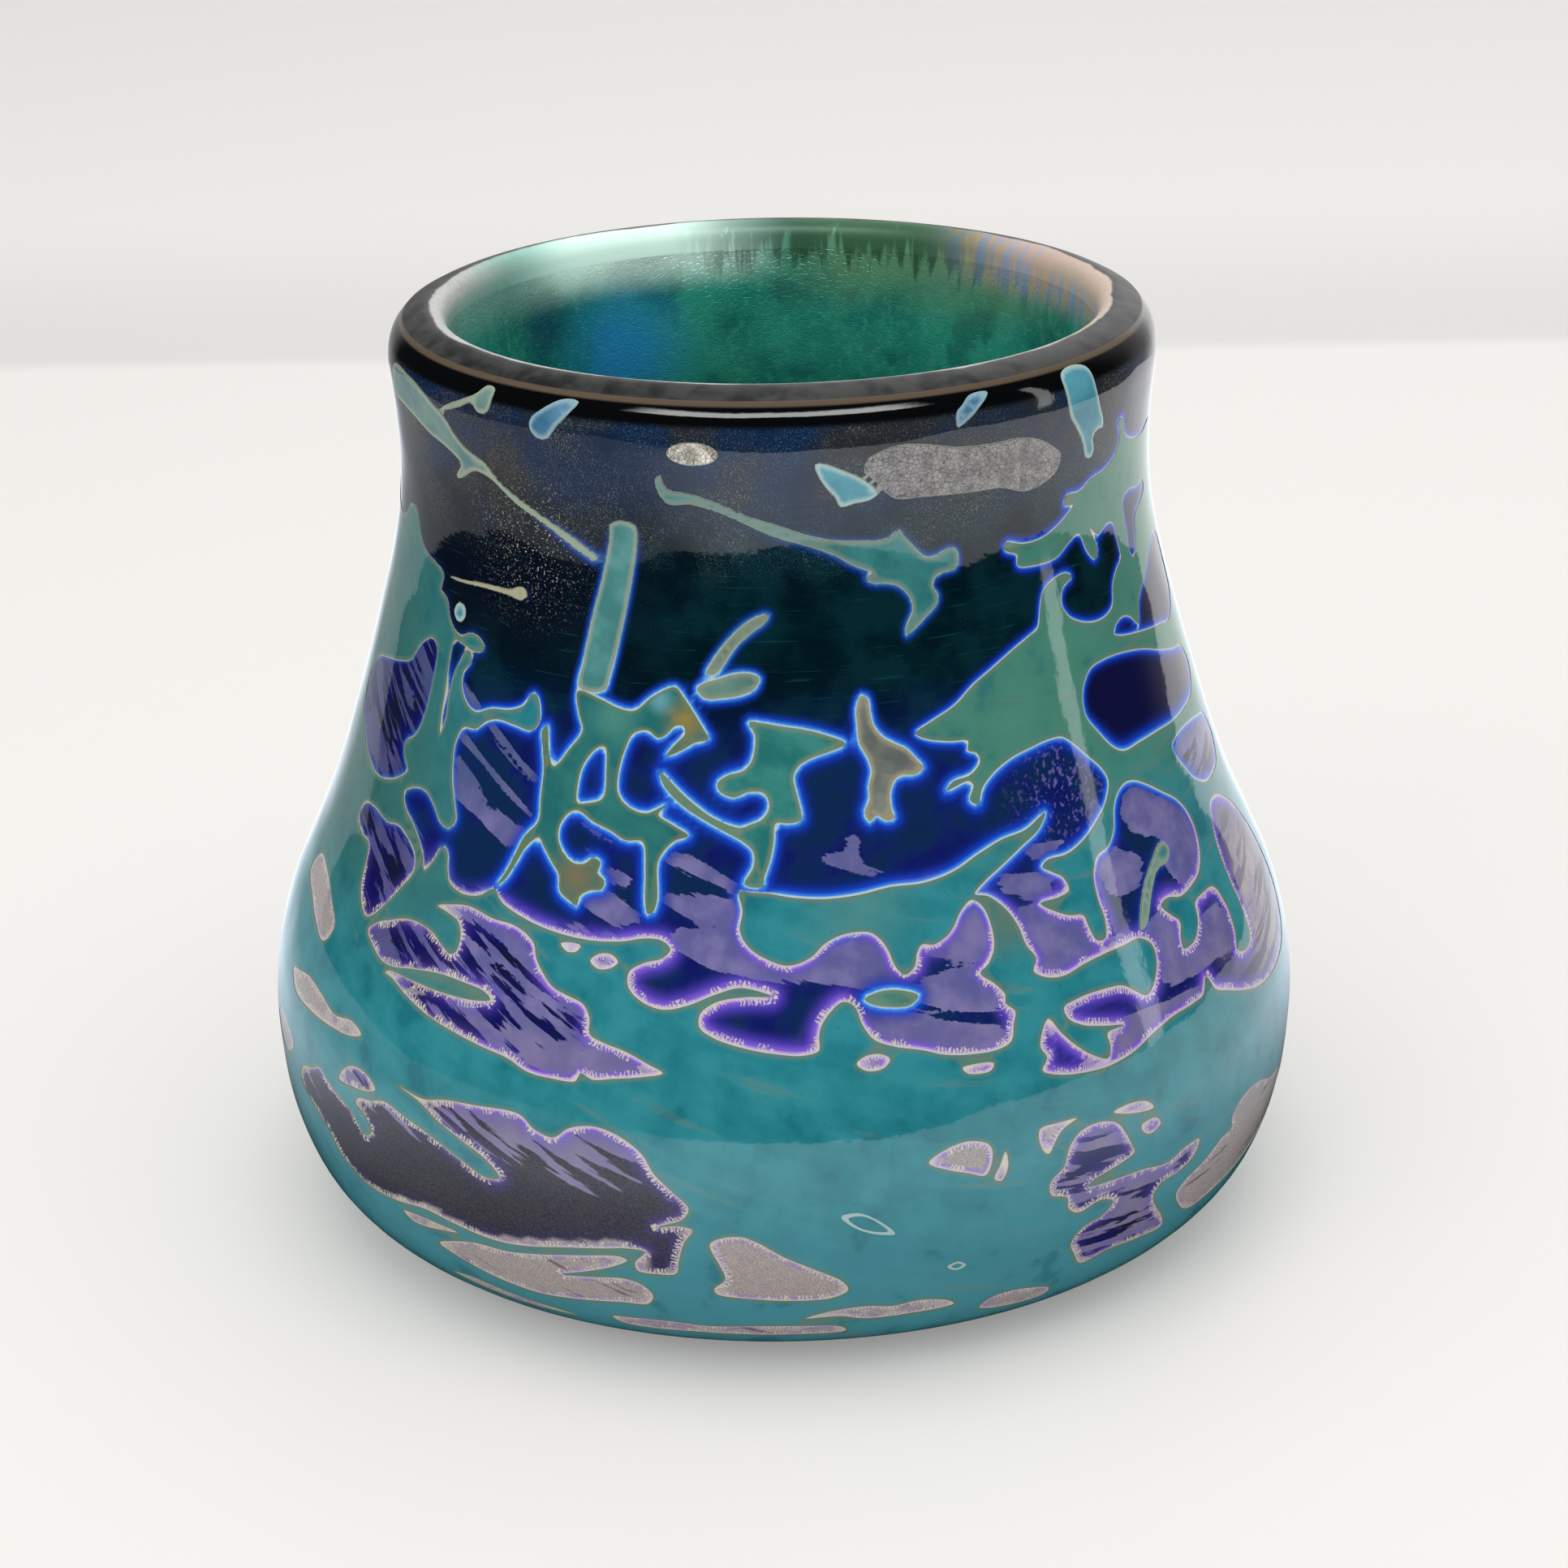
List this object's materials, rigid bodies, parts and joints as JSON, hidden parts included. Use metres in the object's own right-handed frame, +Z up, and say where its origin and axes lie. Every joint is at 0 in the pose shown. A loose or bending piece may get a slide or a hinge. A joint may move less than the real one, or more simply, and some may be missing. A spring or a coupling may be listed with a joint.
{
  "type": "vase",
  "caption": "Squat hand blown vase with a waisted neck and thick rolled lip: clear cased dark glass with a torn teal overlay, trails, shards and silver leaf over a green lustre lining.",
  "frame": {"origin": "centre of the foot, on the surface that the vase stands on", "axes": "+Z up through the mouth, -Y towards the decorated front"},
  "size_m": [0.125, 0.125, 0.1107],
  "materials": {
    "clear_glass": "fire polished clear glass",
    "dark_glass": "opaque blue black glass, glossy",
    "green_lustre": "opaque green glass with a metallic lustre",
    "teal_glass": "opaque teal glass",
    "trail_glass": "opaque pale teal glass",
    "olive_glass": "opaque olive teal glass",
    "silver_leaf": "crackled silver leaf under glass"
  },
  "bodies": {
    "root": {"casing": "clear_glass", "core": "dark_glass", "drop_lip_left": "trail_glass", "drop_lip_right": "trail_glass", "lining": "green_lustre", "overlay": "teal_glass", "shard_bird": "trail_glass", "shard_figure": "olive_glass", "shard_heron": "olive_glass", "shard_leaf": "trail_glass", "shard_petal": "trail_glass", "silver_oval": "silver_leaf", "silver_patch": "silver_leaf", "trail_bar": "trail_glass", "trail_bar_back": "trail_glass", "trail_comet": "trail_glass", "trail_comet_back": "trail_glass", "trail_lip_left": "trail_glass", "trail_streak": "olive_glass", "trail_tick": "trail_glass"}
  },
  "joints": []
}
